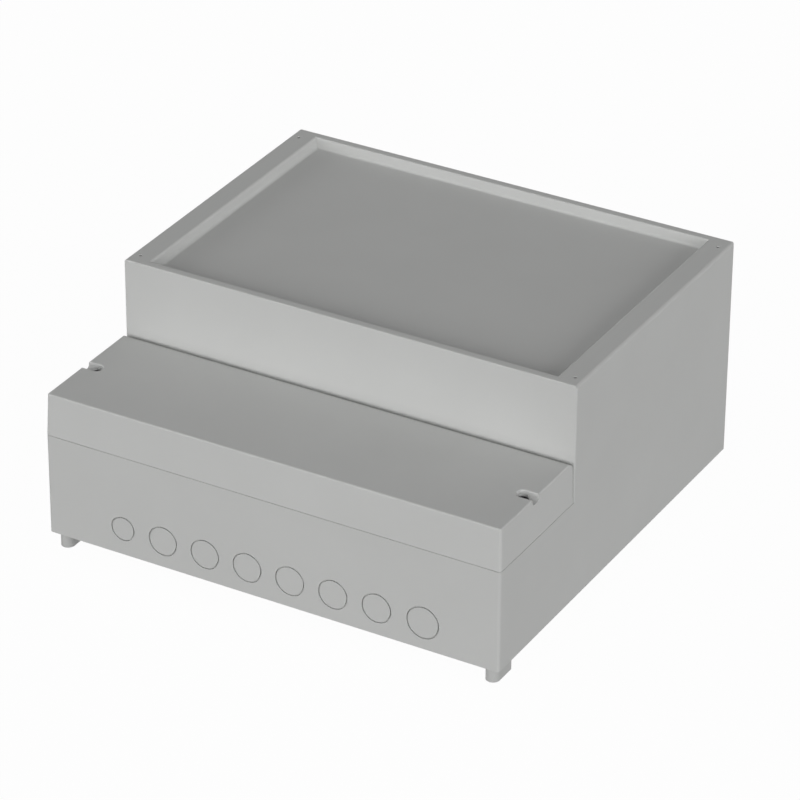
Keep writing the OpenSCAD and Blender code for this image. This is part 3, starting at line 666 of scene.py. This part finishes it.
def floor_finish():
    """White with the shadow left in. Bounced light goes through it, so that the fill from below can reach
    the walls, and so does a look from below."""
    material, shader, place = new_finish("white_floor")
    feed(shader, Base_Color=grey(FLOOR_SHADE), Roughness=1.0)
    glow = place.add("ShaderNodeEmission", {}, {"Color": (1, 1, 1, 1), "Strength": 1.0})
    seen = sees_background(place) * FLOOR_GLOW
    shown = place.add("ShaderNodeMixShader", {}, {0: seen, 1: Wire(place.tree, shader.outputs[0]), 2: glow})
    bounced = place.add("ShaderNodeLightPath", output="Is Diffuse Ray")
    below = place.add("ShaderNodeNewGeometry", output="Backfacing")
    clear = place.add("ShaderNodeBsdfTransparent")
    look = place.add("ShaderNodeMixShader", {}, {0: bounced.larger(below), 1: shown, 2: clear})
    place.tree.links.new(look.socket, place.tree.nodes["Material Output"].inputs["Surface"])
    return material


def add_floor():
    """A square a hair under the feet."""
    mesh = bpy.data.meshes.new("studio_floor")
    corners = np.array(((-1, -1, 0), (1, -1, 0), (1, 1, 0), (-1, 1, 0)), float) * FLOOR_HALF
    corners[:, 2] = FLOOR_LOW
    mesh.from_pydata(corners.tolist(), [], [(0, 1, 2, 3)])
    mesh.materials.append(floor_finish())
    floor = bpy.data.objects.new("studio_floor", mesh)
    bpy.context.scene.collection.objects.link(floor)
    return floor


studio_floor = add_floor()
print("floor:", studio_floor.name)

# %% [markdown]
# ## The sky
# In the photograph the walls are lighter than the tops, the front is lighter than the side, and no edge
# shines. That is light from a wide, low band in front and from the right, not from lamps overhead. So the
# world is a sky with a bright band at the front, and weak light elsewhere shows the other sides. A world can
# be lit by a formula of the direction, which is simpler than a ring of lamps.

# %% Sky
HORIZON_BLUR, BAND, CAP, REAR, TABLE = 0.12, (0.2, 0.6), (0.3, 0.9), (0.4, 0.9), (0.8, 0.9)
CAP_LIGHT, FRONT_LIGHT, REAR_LIGHT, TABLE_LIGHT = 0.3, 1.455, 1.15, 0.7


def soft_step(value, low, high):
    """Goes smoothly from 0 at low to 1 at high."""
    return value.add("ShaderNodeMapRange", {"interpolation_type": "SMOOTHSTEP"},
                     {"Value": value, "From Min": low, "From Max": high, "To Min": 0.0, "To Max": 1.0})


def add_world():
    """White where it is seen. The part is lit by a cap overhead, by a band above the horizon that grows
    towards the front, and by a fill below the horizon at the rear, which reaches only the walls behind. A
    small patch straight below, as of a light table, shows the underside and hardly reaches the walls."""
    world = bpy.data.worlds.new("white_studio")
    bpy.context.scene.world = world
    world.use_nodes = True
    tree = world.node_tree
    way = Wire(tree, tree.nodes.new("ShaderNodeTexCoord").outputs["Generated"])
    y, z = (way.add("ShaderNodeSeparateXYZ", {}, {"Vector": way}, output=axis) for axis in "YZ")
    down = z * -1.0
    above = soft_step(z, -HORIZON_BLUR, HORIZON_BLUR)
    band = above * (1.0 - soft_step(z, *BAND))
    fill = (1.0 - above) * (1.0 - soft_step(down, *BAND)) * soft_step(y, *REAR)
    sky = soft_step(z, *CAP) * CAP_LIGHT + band * (1.0 - y) * FRONT_LIGHT + fill * REAR_LIGHT
    sky = sky + soft_step(down, *TABLE) * TABLE_LIGHT
    strength = sky + (1.0 - sky) * sees_background(way)
    tree.links.new(strength.socket, tree.nodes["Background"].inputs["Strength"])
    tree.nodes["Background"].inputs["Color"].default_value = (1, 1, 1, 1)
    return world


print("sky:", add_world().name)

# %% [markdown]
# ## The lamp
# A large soft lamp stands far off at the right, low and a little in front. It lights the right-hand walls
# and the left wall of the panel field, and its size keeps the shadows in the panel field soft.

# %% Lamp at the right
LAMP_PLACE, LAMP_AIM = np.array((7.2, -1.8, 1.7)), np.array((0.0, 0.0, 0.07))
LAMP_SIZE, LAMP_POWER = 4.8, 118.0


def add_softbox(name, place, aim, size, power):
    """A square lamp at place that faces aim: backward points from aim to lamp, and right is level."""
    data = bpy.data.lights.new(name, "AREA")
    data.shape, data.size, data.energy = "SQUARE", size, power
    backward = (place - aim) / np.linalg.norm(place - aim)
    level = np.cross((0.0, 0.0, 1.0), backward)
    level /= np.linalg.norm(level)
    return add_aimed(name, data, (level, np.cross(backward, level), backward), place)


right_softbox = add_softbox("right_softbox", LAMP_PLACE, LAMP_AIM, LAMP_SIZE, LAMP_POWER)
bpy.context.scene.view_settings.view_transform = "Standard"
print("lamp:", right_softbox.name)
